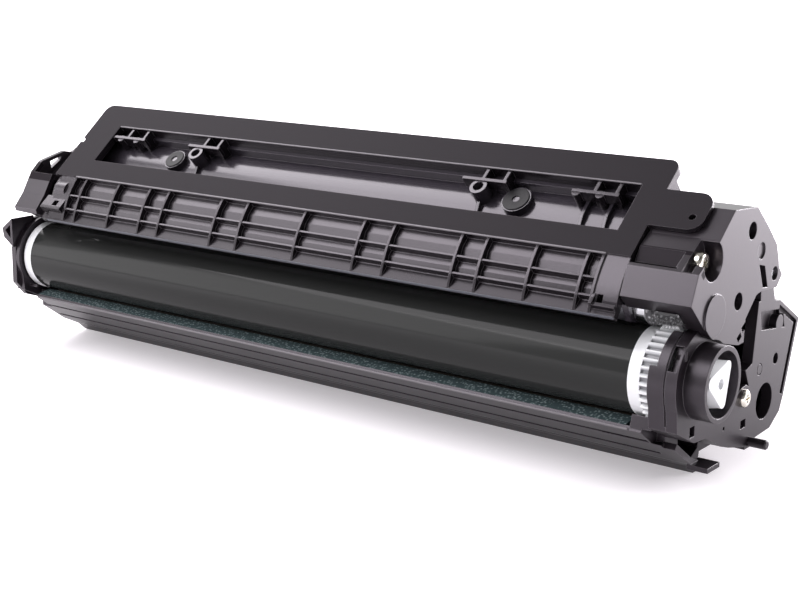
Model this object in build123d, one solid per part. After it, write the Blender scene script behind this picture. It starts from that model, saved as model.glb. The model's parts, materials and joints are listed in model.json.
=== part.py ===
from build123d import *
from math import acos, atan2, cos, degrees, hypot, pi, radians, sin, sqrt, tan
import os

# Toner cartridge with an open drum: a drum and cleaning unit stands below, a toner unit hinges above it.
# X runs along the drum, +Y to the back and +Z up, in millimetres. Sections are drawn as (y, z) about
# the drum's axis. The toner unit's sections are drawn level and then tilted by toner_tilt.

# Drum
drum_length = 240.0
drum_radius = 12.0
drum_wall = 0.8
drum_rim = 3.5
rim_radius = 12.2
drum_teeth = 35
drum_gear_width = 6.5
axle_radius = 3.0
axle_length = 18.0

# Fits and clearances
running_fit = 0.05
roller_gap = 0.3
turning_gap = 0.3
unit_gap = 0.4

# Walls
wall = 1.8
rib = 1.0

# Toner unit
toner_tilt = 40.0
plate_top = 28.0
plate_thickness = 2.5
plate_front = 15.0
plate_back = 48.7
plate_left = 9.5
plate_right_inset = 3.5
window_front = 23.0
window_back = 39.3
window_left = 23.0
window_right_inset = 11.0
tab_length = 14.5
tab_front = 26.0
tab_back = 38.5
tab_thickness = 1.4
guide_lip = 21.8
guide_bulge = 1.05
guide_floor = 2.2
guide_left = 10.0
grid_left = 21.4
grid_rib = 0.8
guide_depth = 2.0
rail_reach = 6.5
guide_skin = 1.8
grid_right_inset = 11.4

# Developer roller
roller_radius = 4.95
roller_angle = 47.6
roller_teeth = 14
sleeve_wall = 0.7
magnet_gap = 0.5
roller_shaft = 2.9
magnet_shaft = 2.1

# Gear train
gear_width = 5.0
small_gear_width = 3.2
idler_teeth = 16
idler_small_teeth = 9
agitator_teeth = 24
stud_radius = 1.6
backlash = 0.28
agitator_axis = (33.0, 9.2)
agitator_shaft_radius = 2.0
agitator_reach = 8.2
film_thickness = 0.3

# Charge roller, in the cleaning unit
charge_radius = 4.3
charge_shaft = 2.2
charge_angle = -45.0

# Wiper blade
wiper_contact = -100.0
wiper_slope = -22.0
wiper_thickness = 1.6
wiper_length = 11.0
bracket_thickness = 1.2

# Cleaning unit
end_radius = 13.7
bin_front = 14.3
bin_floor = -25.6
bin_seam_out = (49.2, -21.4)
bin_seam_in = (47.6, -20.4)
lip_edge = (-10.4, -12.35)
lip_bend = (-0.7, -18.8)
plate_screw = (25.4, -10.9)
stand = -31.0
foot_ribs = 9
bearing_plate = 3.2
left_plate = 2.2
collar_outer = 10.1
collar_inner = 8.8
collar_length = 6.1
coupling_base = 9.8
coupling_tip = 8.6
coupling_twist = 46.0
cover_plate = 1.8
hinge_axis = (41.9, -6.3)
hinge_pin_radius = 1.9
cover_screw_axis = (19.6, 23.4)
recess_centre = (19.5, 24.9)
recess_radius = 5.2
locating_pin = (30.5, -24.6)
locating_pin_radius = 1.35
locating_pin_length = 5.6
locating_root = 1.1

# Places along the drum
left_wall = -(drum_rim + 0.7)
left_outer = left_wall - wall
left_face = left_outer - left_plate
rim_end = drum_length + drum_rim
gear_end = rim_end + drum_gear_width
shroud_start = drum_length + 6.5
shroud_end = gear_end + 1.5
bearing_face = shroud_end + bearing_plate
collar_end = bearing_face + collar_length
cover_inner = bearing_face + 0.5
cover_face = cover_inner + cover_plate
plate_right = drum_length - plate_right_inset
hopper_right = plate_right
cover_start = plate_right + 0.4
hopper_left = plate_left
gear_start = drum_length + 4.5
boss_start = gear_start + gear_width + 0.4
cover_post_radius = 1.8
screw_seat = boss_start + 2.0

# Places in the level toner section
roller_reach = drum_radius + roller_gap + roller_radius
roller_axis = (roller_reach * cos(radians(roller_angle)), roller_reach * sin(radians(roller_angle)))
module = 2 * roller_reach / (drum_teeth + roller_teeth)
big_step = module * (roller_teeth + idler_teeth) / 2
small_step = module * (idler_small_teeth + agitator_teeth) / 2
span = hypot(agitator_axis[0] - roller_axis[0], agitator_axis[1] - roller_axis[1])
span_angle = degrees(atan2(agitator_axis[1] - roller_axis[1], agitator_axis[0] - roller_axis[0]))
idler_turn = degrees(acos((big_step**2 + span**2 - small_step**2) / (2 * big_step * span)))
idler_angle = span_angle + idler_turn
idler_axis = (
    roller_axis[0] + big_step * cos(radians(idler_angle)),
    roller_axis[1] + big_step * sin(radians(idler_angle)),
)

doctor_thickness = 1.2
doctor_tip = (
    roller_axis[0] + (roller_radius + turning_gap) * cos(radians(35)),
    roller_axis[1] + (roller_radius + turning_gap) * sin(radians(35)),
)

# Places in the cleaning section
charge_reach = drum_radius + roller_gap + charge_radius
charge_axis = (charge_reach * cos(radians(charge_angle)), charge_reach * sin(radians(charge_angle)))
wiper_reach = drum_radius + turning_gap
wiper_tip = (wiper_reach * cos(radians(wiper_contact)), wiper_reach * sin(radians(wiper_contact)))


def section(*points):
    """Face with straight sides through the points."""
    return make_face(Polyline(*points, close=True))


def slab(face, x0, x1):
    """Section run along the cartridge from x0 to x1."""
    return extrude(Plane.YZ.offset(x0) * face, amount=x1 - x0)


def rod(at, radius, x0, x1):
    return slab(Pos(at[0], at[1]) * Circle(radius), x0, x1)


def ring(at, outer, inner, x0, x1):
    return slab(Pos(at[0], at[1]) * (Circle(outer) - Circle(inner)), x0, x1)


def bar(x0, x1, y0, y1, z0, z1):
    return Pos((x0 + x1) / 2, (y0 + y1) / 2, (z0 + z1) / 2) * Box(x1 - x0, y1 - y0, z1 - z0)


def tilted(shape):
    """Toner unit's shape, turned from its level section to its real lean."""
    return Rot(toner_tilt, 0, 0) * shape


def world(point):
    """Point of the level toner section, in the cartridge's own section."""
    c, s = cos(radians(toner_tilt)), sin(radians(toner_tilt))
    return (point[0] * c - point[1] * s, point[0] * s + point[1] * c)


def level(point):
    """Point of the cartridge's section, in the level toner section."""
    c, s = cos(radians(toner_tilt)), sin(radians(toner_tilt))
    return (point[0] * c + point[1] * s, point[1] * c - point[0] * s)


# Gears

def tooth_points(radius_p, teeth, phase):
    """Outline of a gear with straight tooth flanks, one tooth standing at phase degrees."""
    points = []
    half = pi * module / 4 - backlash / 2
    for n in range(teeth):
        centre = radians(phase + 360 * n / teeth)
        for radius, side in (
            (radius_p - 1.15 * module, -1),
            (radius_p + 0.85 * module, -1),
            (radius_p + 0.85 * module, 1),
            (radius_p - 1.15 * module, 1),
        ):
            spread = (half + (radius_p - radius) * tan(radians(20))) / radius
            points.append((radius * cos(centre + side * spread), radius * sin(centre + side * spread)))
    return points


def gear(at, teeth, phase, x0, x1):
    face = section(*tooth_points(module * teeth / 2, teeth, phase))
    return slab(Pos(at[0], at[1]) * face, x0, x1)


def next_phase(phase, teeth, direction, next_teeth):
    """Angle of a tooth of the gear that meshes, in that direction, with a tooth at phase."""
    pitch = 360 / teeth
    offset = (phase - direction + pitch / 2) % pitch - pitch / 2
    return direction + 180 - offset * teeth / next_teeth + 180 / next_teeth


roller_phase = next_phase(roller_angle, drum_teeth, roller_angle, roller_teeth)
idler_phase = next_phase(roller_phase, roller_teeth, idler_angle, idler_teeth)
agitator_angle = degrees(
    atan2(agitator_axis[1] - idler_axis[1], agitator_axis[0] - idler_axis[0])
)
agitator_phase = next_phase(idler_phase, idler_small_teeth, agitator_angle, agitator_teeth)


# Drum

def drum_tube():
    return ring((0, 0), drum_radius, drum_radius - drum_wall, 0, drum_length)


def twisted_coupling(x0, x1):
    """Three-sided drive prism that twists as it rises."""
    base = fillet(RegularPolygon(coupling_base, 3).vertices(), 1.8)
    tip = fillet(RegularPolygon(coupling_tip, 3).vertices(), 1.6)
    low = Plane.YZ.offset(x0) * base
    high = Plane.YZ.offset(x1) * Rot(0, 0, coupling_twist) * tip
    return loft([low.face(), high.face()])


def drum_drive_flange():
    bore = drum_radius - drum_wall
    journal_end = bearing_face + 0.6
    body = ring((0, 0), bore, bore - 2.2, drum_length - 12, drum_length)
    body += rod((0, 0), rim_radius, drum_length, rim_end)
    body += gear((0, 0), drum_teeth, toner_tilt + roller_angle, rim_end, gear_end)
    body += rod((0, 0), collar_inner - running_fit, gear_end, journal_end)
    body += twisted_coupling(journal_end, collar_end - 0.6)
    body -= rod((0, 0), 4.0, drum_length - 12, rim_end)
    return body - rod((0, 0), 1.4, rim_end, collar_end)


def drum_left_flange():
    bore = drum_radius - drum_wall
    body = ring((0, 0), bore, bore - 2.2, 0, 12)
    body += rod((0, 0), drum_radius, -drum_rim, 0)
    body += rod((0, 0), axle_radius + 2.2, 0, 8)
    return body - rod((0, 0), axle_radius + running_fit, -drum_rim, 8)


def drum_axle():
    head = rod((0, 0), axle_radius + 1.6, left_face - 1.2, left_face)
    return head + rod((0, 0), axle_radius, left_face, left_face + axle_length)


# Cleaning unit

def end_outline():
    """Outline of both end plates of the drum and cleaning unit."""
    back = section(
        (0, 0), (12.0, 1.0), (17.0, -6.0), (30.3, -2.3), (32.4, 14.6), (46.3, 12.5), (59.9, 4.7),
        (52.3, -16.3), (50.1, -20.7), (44.1, -24.2), (34.0, -24.6), (27.0, -25.4), (18.2, -23.1),
        (13.4, -21.5), (6.4, -17.8), (4.0, -16.7), (-2.4, -16.2), (-12.0, -11.3), (-12.6, -5.0),
    )
    return back + Circle(end_radius)


def hinge_lug(x0, x1):
    """Ear that rises from an end plate to the hinge pin."""
    pin = world(hinge_axis)
    foot = section((33.6, 13.0), (43.4, 11.6), (pin[0] + 3.2, pin[1]), (pin[0] - 3.2, pin[1]))
    ear = slab(foot, x0, x1) + rod(pin, 3.2, x0, x1)
    return ear - rod(pin, hinge_pin_radius, x0, x1)


def bin_trough():
    """Lower wall of the waste bin, from the lip under the drum to the back edge."""
    return section(
        (-11.2, -13.4), (-1.5, -20.4), (4.8, -25.0), (11.2, -28.2), (bin_front, stand),
        (bin_front + 2, stand), (17.4, bin_floor), (45.0, bin_floor), bin_seam_out,
        bin_seam_in, (44.2, bin_floor + wall), (17.0, bin_floor + wall), (12.2, -26.4),
        (5.4, -23.2), lip_bend, lip_edge,
    )


def wiper_frame(face):
    """Section drawn along the wiper, from its tip backwards, set in its place."""
    return Pos(*wiper_tip) * Rot(0, 0, wiper_slope) * face


def waste_housing():
    inner_end = shroud_start
    body = slab(bin_trough(), left_wall, inner_end)
    # End walls
    outline = end_outline()
    body += slab(outline, left_outer, left_wall)
    body += slab(outline, shroud_start, shroud_end)
    tray = offset(section(
        (16.0, -4.5), (33.5, 12.2), (46.0, 10.7), (57.6, 3.6), (50.6, -16.2), (48.6, -19.4),
        (43.6, -22.2), (28.0, -22.6), (18.0, -20.8), (13.0, -16.0),
    ), -0.4)
    body -= slab(tray, shroud_start + wall, shroud_end)
    body -= rod((0, 0), module * drum_teeth / 2 + 0.85 * module + turning_gap, shroud_start, shroud_end)
    # Opening in the shroud for the developer roller's gear
    roller = world(roller_axis)
    gear_tip = module * roller_teeth / 2 + 0.85 * module
    body -= rod(roller, gear_tip + 0.7, shroud_start, shroud_end)
    # Cheeks that close the space below the drum's ends
    cheek = section((-10.8, -12.9), (-9.4, -9.2), (4.5, -9.2), (4.5, -23.4), (-1.1, -19.6)) - Circle(end_radius - 0.4)
    body += slab(cheek, drum_length + 0.4, shroud_start)
    body += slab(cheek, left_wall, -0.3)
    # Seam between the shroud and the side plate
    body -= ring((0, 0), end_radius + 2, end_radius - 0.35, shroud_end - 0.4, shroud_end) & bar(
        shroud_end - 0.4, shroud_end, -20, 3, -16, 20)
    # Upper front of the shroud starts a little later
    body -= bar(shroud_start, shroud_start + 2, -end_radius - 1, 4, 5.5, end_radius + 1)
    body -= rod((0, 0), axle_radius, left_outer, left_wall)
    # Posts that carry the wiper bracket
    post = wiper_frame(section((7.0, -9.0), (14.0, -9.0), (14.0, -wiper_thickness - bracket_thickness),
                               (7.0, -wiper_thickness - bracket_thickness)))
    for x0 in (0.5, drum_length - 8.0):
        body += slab(post, x0, x0 + 7.5) & slab(
            section((-2, -19.5), (5, -24.4), (12, -27.2), (17, -25.0), (24, -24.6), (24, -8), (-2, -8)),
            left_wall, inner_end)
    body += rod(plate_screw, 2.6, shroud_start, shroud_end)
    body -= rod(plate_screw, 1.2, shroud_start, shroud_end)
    body -= rod(plate_screw, 1.2, left_outer, left_wall)
    body -= wiper_screw_cores()
    # Seats of the charge roller's springs
    seat_r = charge_reach + 7.6
    seat = Rot(0, 0, charge_angle) * section((seat_r, -3.2), (seat_r + 1.6, -3.2), (seat_r + 1.6, 3.2), (seat_r, 3.2))
    foot = section((16.0, bin_floor + 0.4), (22.0, bin_floor + 0.4), (21.2, -15.6), (17.4, -19.2))
    for x0, x1 in ((left_wall, 0.0), (drum_length, shroud_start)):
        body += slab(seat, x0, x1) + slab(foot, x0, x1)
    # Ribs under the bin that it stands on
    foot_rib = section((bin_front + 4, bin_floor + 0.5), (bin_front + 4.6, stand), (43.5, stand), (45.5, bin_floor + 0.5))
    pitch = (drum_length - 28.0) / (foot_ribs - 1)
    for n in range(foot_ribs):
        body += slab(foot_rib, 13.0 + n * pitch, 15.0 + n * pitch)
    # Grooves along the front face, the slot behind the lip and the notch at the drive end
    for y, z in ((-6.0, -17.15), (1.2, -22.4), (7.6, -26.4)):
        body -= slab(Pos(y, z) * Rot(0, 0, -36) * Rectangle(1.5, 1.1), left_wall + 2, drum_length + 3.4)
    body -= slab(Pos(-5.2, -17.0) * Rot(0, 0, -36) * Rectangle(1.1, 5.0), drum_length - 11, drum_length + 3.4)
    body -= bar(drum_length + 4.0, shroud_start, -16, -2.4, -17.9, -12.5)
    # Lower front wall runs on below the shroud, and ends in a foot tab
    beam = section((-3.6, -18.9), (4.8, -25.0), (11.2, -28.2), (12.2, -26.4), (5.4, -23.2), (-2.5, -17.5))
    body += slab(beam, shroud_start - 0.5, gear_end)
    body += bar(gear_end - 1.0, bearing_face + 0.4, 5.4, 12.4, -26.8, -25.4)
    # The lip starts behind the left plate
    body -= bar(left_wall, 1.4, -16, -4.5, stand, -10.2)
    return body


def waste_cover():
    """Welded cover that closes the bin's top and back."""
    shell = section(
        (17.4, -1.6), (33.7, 13.4), (46.1, 11.8), (58.8, 4.4), (51.6, -16.2), bin_seam_out,
        bin_seam_in, (50.0, -15.6), (56.5, 3.6), (45.6, 10.0), (34.2, 11.5), (18.2, -4.0),
    )
    body = slab(shell, left_wall, shroud_start)
    stiffener = section((46.1, 11.8), (58.8, 4.4), (59.6, 4.9), (46.4, 12.5))
    for n in range(7):
        x = 20.0 + n * (drum_length - 40.0) / 6
        body += slab(stiffener, x, x + rib)
    return body


def right_side_plate():
    outline = end_outline()
    body = slab(outline, shroud_end, bearing_face)
    groove = section((46.2, 11.2), (58.4, 4.3), (51.2, -16.0), (49.6, -15.4), (56.2, 4.0), (45.8, 9.8))
    body -= slab(groove, bearing_face - 1.2, bearing_face)
    body += hinge_lug(shroud_end, bearing_face)
    # Collar round the drive coupling
    body += rod((0, 0), collar_outer, bearing_face, collar_end)
    body -= rod((0, 0), collar_inner, shroud_end, collar_end)
    # Pocket round the guide peg
    pocket = section((33.6, 11.6), (48.5, 9.6), (50.2, 4.0), (35.0, 6.0))
    body -= slab(pocket, shroud_end + 0.9, bearing_face)
    body += rod((46.8, 5.8), 2.3, shroud_end, bearing_face)
    # Holes
    body -= rod((45.4, -4.2), 1.65, shroud_end, bearing_face)
    body -= rod((39.2, -15.1), 5.2, shroud_end, bearing_face)
    body -= rod(plate_screw, 1.2, shroud_end, bearing_face)
    body -= rod((14.6, -16.8), 0.6, shroud_end, bearing_face)
    body -= bar(shroud_end, bearing_face, 24.8, 28.0, -19.7, -17.3)
    body -= bar(shroud_end, bearing_face, -5.2, -2.4, -14.3, -11.4)
    body += bar(shroud_end, bearing_face - 0.8, -4.6, -3.6, -14.3, -12.2)
    # Slot beside the collar, and the wedge-shaped pocket in the upper front of the rim
    body -= bar(shroud_end, bearing_face, -9.7, -8.4, 7.1, 9.3)
    body -= Rot(-32, 0, 0) * bar(shroud_end, bearing_face - 0.7, -end_radius - 1, -end_radius + 2.2, -2.6, 4.4)
    # Latch beside the front edge, and a round moulding mark
    body -= slab(section((22.2, -8.8), (24.0, -1.4), (25.4, -1.8), (29.0, -8.6), (27.2, -7.6), (24.6, -7.8)), shroud_end, bearing_face)
    body -= ring((35.2, -5.1), 1.7, 1.4, bearing_face - 0.3, bearing_face)
    body -= rod(locating_pin, locating_root, shroud_end, bearing_face)
    return body


def locating_boss(x0, x1):
    """Boss of the plate round the locating pin."""
    y, z = locating_pin
    return slab(section((y - 3.4, z + 4), (y - 2.2, z - 1.9), (y + 2.2, z - 1.9), (y + 3.4, z + 4)), x0, x1)


def left_side_plate():
    front = section((0, 0), (0, 13.6), (-8.0, 13.6), (-13.6, 4.0), (-13.9, -8.6), (-9.6, -13.6), (-2.4, -16.2))
    body = slab(end_outline() + front, left_face, left_outer)
    body += hinge_lug(left_face, left_outer)
    # Pointed lug above the drum's end, with a three-sided pocket in front
    lug = Polyline((left_outer, 14.6), (left_face - 3.4, 10.6), (left_face - 2.6, 7.4), (left_outer, 4.4), close=True)
    body += extrude(Plane.XZ.offset(14.6) * make_face(lug), amount=-9.6)
    pocket = Polyline((left_outer - 1.0, 12.4), (left_face - 1.8, 10.0), (left_outer - 1.0, 7.2), close=True)
    body -= extrude(Plane.XZ.offset(14.6) * make_face(pocket), amount=-2.6)
    body -= rod((0, 0), axle_radius, left_face - 4, left_outer)
    body -= rod((45.4, -4.2), 1.65, left_face, left_outer)
    body -= rod((39.2, -15.1), 5.2, left_face, left_outer)
    body -= rod(plate_screw, 1.2, left_face, left_outer)
    return body


def cross_head_screw(at, x_seat, direction, head, shank, length, head_height=2.0):
    """Round-headed screw along X, its head towards direction (+1 or -1), with a cross recess."""
    low, high = sorted((x_seat, x_seat + direction * head_height))
    body = rod(at, head, low, high)
    crown = body.edges().filter_by(GeomType.CIRCLE).sort_by(Axis.X)
    body = fillet(crown[-1] if direction > 0 else crown[0], 0.9)
    low, high = sorted((x_seat, x_seat - direction * length))
    body += rod(at, shank, low, high)
    tip = x_seat + direction * head_height
    low, high = sorted((tip, tip - direction * 0.9))
    for wide, tall in ((0.55, 2.6), (2.6, 0.55)):
        body -= bar(low, high, at[0] - wide / 2, at[0] + wide / 2, at[1] - tall / 2, at[1] + tall / 2)
    return body


def side_plate_screws():
    right = cross_head_screw(plate_screw, bearing_face, 1, 2.5, 1.2, bearing_plate + 3.0, 1.5)
    left = cross_head_screw(plate_screw, left_face, -1, 2.3, 1.2, left_plate + wall)
    return [right, left]


def charge_bearings():
    """Blocks that carry the charge roller's shaft and slide towards the drum."""
    block = Rot(0, 0, charge_angle) * (
        Pos(charge_reach + 0.6, 0) * RectangleRounded(6.4, 6.6, 0.8) - Pos(charge_reach, 0) * Circle(charge_shaft + running_fit)
    )
    return [slab(block, left_wall, -0.6), slab(block, drum_length + 0.6, shroud_start)]


def charge_springs():
    low = charge_reach + 0.6 + 3.2
    high = charge_reach + 7.6
    springs = []
    for x in ((left_wall - 0.6) / 2, (drum_length + 0.6 + shroud_start) / 2):
        coil = spring(1.5, 0.22, high - low, 4)
        springs.append(Pos(x, 0, 0) * Rot(charge_angle, 0, 0) * Pos(0, low, 0) * Rot(-90, 0, 0) * coil)
    return springs


def spring(radius, wire, length, turns):
    """Helical spring standing on the origin along +Z, its ends inside the length."""
    path = Helix((length - 2 * wire) / turns, length - 2 * wire, radius)
    start = Plane(origin=path @ 0, z_dir=path % 0)
    return Pos(0, 0, wire) * sweep(start * Circle(wire), path=path)


def wiper_bracket():
    top = -wiper_thickness
    face = section(
        (5.0, top), (17.5, top), (17.5, top - 5.5), (16.3, top - 5.5),
        (16.3, top - bracket_thickness), (5.0, top - bracket_thickness),
    )
    body = slab(wiper_frame(face), 0.8, drum_length - 0.8)
    return body - wiper_screw_cores()


def wiper_screw_cores():
    cores = []
    for x in (4.2, drum_length - 4.2):
        y, z = wiper_local(13.5, 0)
        lean = Rot(wiper_slope, 0, 0)
        cores.append(Pos(x, y, z) * lean * Pos(0, 0, -4) * Cylinder(1.3, 8))
    return cores


def wiper_local(u, v):
    c, s = cos(radians(wiper_slope)), sin(radians(wiper_slope))
    return (wiper_tip[0] + u * c - v * s, wiper_tip[1] + u * s + v * c)


def wiper_blade():
    face = section((0, 0), (wiper_length, 0), (wiper_length, -wiper_thickness), (0.6, -wiper_thickness))
    return slab(wiper_frame(face), 2.0, drum_length - 2.0)


def wiper_screws():
    screws = []
    for x in (4.2, drum_length - 4.2):
        y, z = wiper_local(13.5, -wiper_thickness)
        lean = Rot(wiper_slope, 0, 0)
        head = Pos(0, 0, 0.6) * Cylinder(2.3, 1.2)
        shank = Pos(0, 0, -2.4) * Cylinder(1.3, 4.8)
        screws.append(Pos(x, y, z) * lean * (head + shank))
    return screws


def drum_seal_strip():
    fall = (lip_bend[1] - lip_edge[1]) / (lip_bend[0] - lip_edge[0])
    back = lip_edge[0] + 5.2
    wedge = section(lip_edge, (-5.3, -11.35), (-4.4, -12.3), (back, lip_edge[1] + 5.2 * fall))
    return slab(wedge, 1.0, drum_length - 1.0)


def locating_pin_node():
    body = rod(locating_pin, locating_pin_radius, bearing_face, bearing_face + locating_pin_length)
    body = chamfer(body.edges().filter_by(GeomType.CIRCLE).sort_by(Axis.X)[-1], 0.3)
    return body + rod(locating_pin, locating_root, shroud_end, bearing_face)


def hinge_pins():
    pin = world(hinge_axis)
    right = rod(pin, hinge_pin_radius, shroud_end, cover_inner + 1.0)
    left = rod(pin, hinge_pin_radius, left_face, left_outer + 1.6)
    return [right, left]


def charge_roller_shaft():
    return rod(charge_axis, charge_shaft, left_wall + 0.3, drum_length + 3.0)


def charge_roller_rubber():
    return ring(charge_axis, charge_radius, charge_shaft, 5.0, drum_length - 5.0)


# Toner unit

def guide_height(y):
    """Height of the guide ribs' edge above the level section at y, on the arc of the guide."""
    chord = hypot(plate_front, plate_top - guide_lip)
    radius = (chord / 2) ** 2 / (2 * guide_bulge) + guide_bulge / 2
    mid = (plate_front / 2, (plate_top + guide_lip) / 2)
    normal = (-(plate_top - guide_lip) / chord, plate_front / chord)
    drop = radius - guide_bulge
    centre = (mid[0] - normal[0] * drop, mid[1] - normal[1] * drop)
    return centre[1] + sqrt(radius**2 - (y - centre[0]) ** 2)


def guide_profile(sink):
    """Closed section between the guide's arc and its floor."""
    mid = plate_front / 2
    arc = ThreePointArc(
        (0, guide_lip - sink), (mid, guide_height(mid) - sink), (plate_front, plate_top - sink)
    )
    sides = Polyline((plate_front, plate_top - sink), (plate_front, guide_lip - 1.0),
                     (0, guide_lip - 1.0), (0, guide_lip - sink))
    return make_face([arc, sides])


def from_right(*distances):
    """Places along the drum given by their distance from its right end."""
    return tuple(drum_length - distance for distance in distances)


rib_pairs = ((29.5, 37.2), (66.5, 72.8), from_right(61.0, 53.8), from_right(24.4, 17.7))
grid_ribs = (26.1, 42.6, 57.8, 66.8, 90.8, 102.1, drum_length / 2 + 5.8,
             *from_right(91.0, 79.9, 56.2, 47.7, 31.7, 15.9))


def hopper_outer(x0, x1):
    """Outside of the toner hopper, a dome over a flat floor."""
    dome = ThreePointArc((43.4, 17.2), (33.0, 22.3), (22.0, 17.0))
    sides = Polyline((22.0, 17.0), (22.0, 14.8), (17.2, 14.8), (15.8, 6.8), (16.4, 4.0), (22.4, -2.7), (43.4, -2.7),
                     (45.2, 7.0), (43.4, 17.2))
    return slab(make_face([dome, sides]), x0, x1)


def hopper_inner(x0, x1):
    dome = ThreePointArc((41.7, 16.0), (33.0, 20.5), (23.6, 16.0))
    sides = Polyline((23.6, 16.0), (23.6, 14.8), (10.0, 14.8), (10.0, 7.4), (17.7, 7.4), (18.2, 4.7), (23.2, -0.9), (41.9, -0.9),
                     (43.4, 7.0), (41.7, 16.0))
    return slab(make_face([dome, sides]), x0, x1)


def hopper_fittings():
    """Ledge, ribs, tube bosses and round pads on the hopper's dome, seen through the window."""
    ledge = section((37.9, 18.4), (37.9, 24.4), (window_back, 24.4), (window_back, 17.8))
    body = slab(ledge, hopper_left + 14, hopper_right - 8)
    for x in (64.5, *from_right(61.5, 27.4, 20.0)):
        rib_face = section((24.0, 16.6), (24.0, 20.8), (30.0, 23.6), (38.0, 24.0), (38.0, 18.6), (30.0, 20.6))
        body += slab(rib_face, x, x + rib)
    for x, y in tube_bosses:
        body += Pos(x, y, 23.4) * Cylinder(2.7, 7.6)
    for x, y, radius in round_pads:
        body += Pos(x, y, 21.9) * Cylinder(radius, 4.4)
    return body


def toner_hopper():
    body = hopper_outer(hopper_left, hopper_right) - hopper_inner(hopper_left + wall, hopper_right - wall)
    # Ends round the developer roller
    cheek = section((6.4, 18.6), (5.2, 13.2), (9.0, 8.0), (16.4, 4.0), (22.4, -0.9), (22.4, 17.0),
                    (14.8, 17.0), (14.8, 19.0))
    for x0 in (hopper_left, hopper_right - wall):
        body += slab(cheek, x0, x0 + wall)
    body += hopper_fittings()
    for x, y in tube_bosses:
        body -= Pos(x, y, 25.3) * Cylinder(1.6, 3.8)
    for x, y, radius in round_pads:
        body -= Pos(x, y, 23.9) * (Cylinder(radius - 0.7, 0.5) - Cylinder(1.2, 0.5))
    # Bores
    body -= rod(roller_axis, roller_bushing_radius(), hopper_left, hopper_left + wall)
    body -= rod(roller_axis, roller_bushing_radius(), hopper_right - wall, hopper_right)
    body -= rod(agitator_axis, agitator_shaft_radius + running_fit, hopper_right - wall, hopper_right)
    body -= rod(agitator_axis, agitator_shaft_radius + running_fit, hopper_left + 0.6, hopper_left + wall)
    body -= rod(fill_axis, fill_radius, hopper_left, hopper_left + wall)
    return body


tube_bosses = ((65.0, 32.3), (drum_length - 61.0, 32.6))
round_pads = ((54.0, 31.0, 3.9), (drum_length - 49.0, 32.0, 4.5))
fill_axis = (39.2, 3.7)
fill_radius = 3.5


def roller_bushing_radius():
    return roller_radius - 0.4


def guide_floor_section(lip):
    """Skin under the ribs, flat behind each long rib and steep in front of it."""
    places = (plate_front + 1, 11.8, 8.7, 8.0, 6.2, 4.3, 3.5)
    drops = (0, -0.25, 0.35, 0.25, -0.25, 0.1, 0.0)
    upper = [(y, guide_height(min(y, plate_front)) - guide_depth - drop) for y, drop in zip(places, drops)]
    lower = [(y, z - guide_skin) for y, z in upper[::-1]]
    return section(*upper, (0, guide_lip), (0.4, lip), *lower)


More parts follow.
